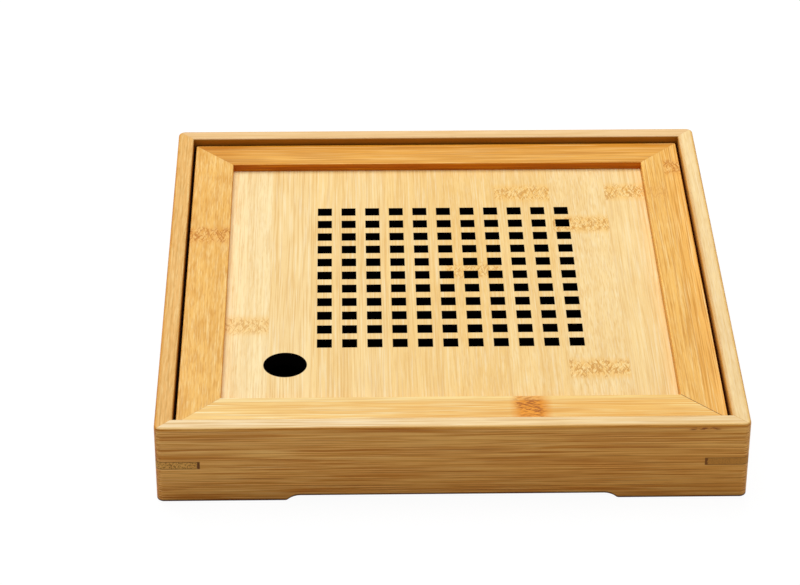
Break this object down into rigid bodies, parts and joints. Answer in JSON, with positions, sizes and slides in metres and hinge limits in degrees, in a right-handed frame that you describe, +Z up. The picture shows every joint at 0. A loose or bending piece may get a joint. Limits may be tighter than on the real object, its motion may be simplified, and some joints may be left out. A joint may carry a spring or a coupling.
{
  "type": "gongfu tea table",
  "caption": "Square bamboo gongfu tea tray: a mitred box on cut feet, a lift-off lid with a grille of square holes and a finger hole, and a loose drip tray inside.",
  "frame": {"origin": "middle of the box, on the surface that its feet stand on", "axes": "+Z up, +X to the right along the front wall, +Y towards the back wall; the finger hole is at the front left"},
  "size_m": [0.2, 0.2, 0.03],
  "materials": {
    "bamboo_walls": "satin lacquered bamboo, grain along each wall",
    "bamboo_splines": "end grain bamboo, sanded flush",
    "bamboo_base": "plain sanded bamboo board",
    "bamboo_rails": "satin lacquered bamboo, grain along each rail",
    "bamboo_panel": "satin lacquered bamboo, strips from front to back, charred hole walls",
    "tray_plastic": "black moulded plastic, fine matt grain"
  },
  "bodies": {
    "frame": {"frame_front": "bamboo_walls", "frame_right": "bamboo_walls", "frame_back": "bamboo_walls", "frame_left": "bamboo_walls", "spline_front_right": "bamboo_splines", "spline_back_right": "bamboo_splines", "spline_back_left": "bamboo_splines", "spline_front_left": "bamboo_splines", "base_board": "bamboo_base"},
    "drip_tray": {"drip_tray": "tray_plastic"},
    "lid": {"lid_rail_front": "bamboo_rails", "lid_rail_right": "bamboo_rails", "lid_rail_back": "bamboo_rails", "lid_rail_left": "bamboo_rails", "lid_spline_front_right": "bamboo_splines", "lid_spline_back_right": "bamboo_splines", "lid_spline_back_left": "bamboo_splines", "lid_spline_front_left": "bamboo_splines", "lid_panel": "bamboo_panel"}
  },
  "joints": [
    {"name": "tray_lift", "type": "slide", "parent": "frame", "child": "drip_tray", "axis": [0, 0, 1], "range_m": [0, 0.06]},
    {"name": "lid_lift", "type": "slide", "parent": "drip_tray", "child": "lid", "axis": [0, 0, 1], "range_m": [0, 0.06]}
  ]
}
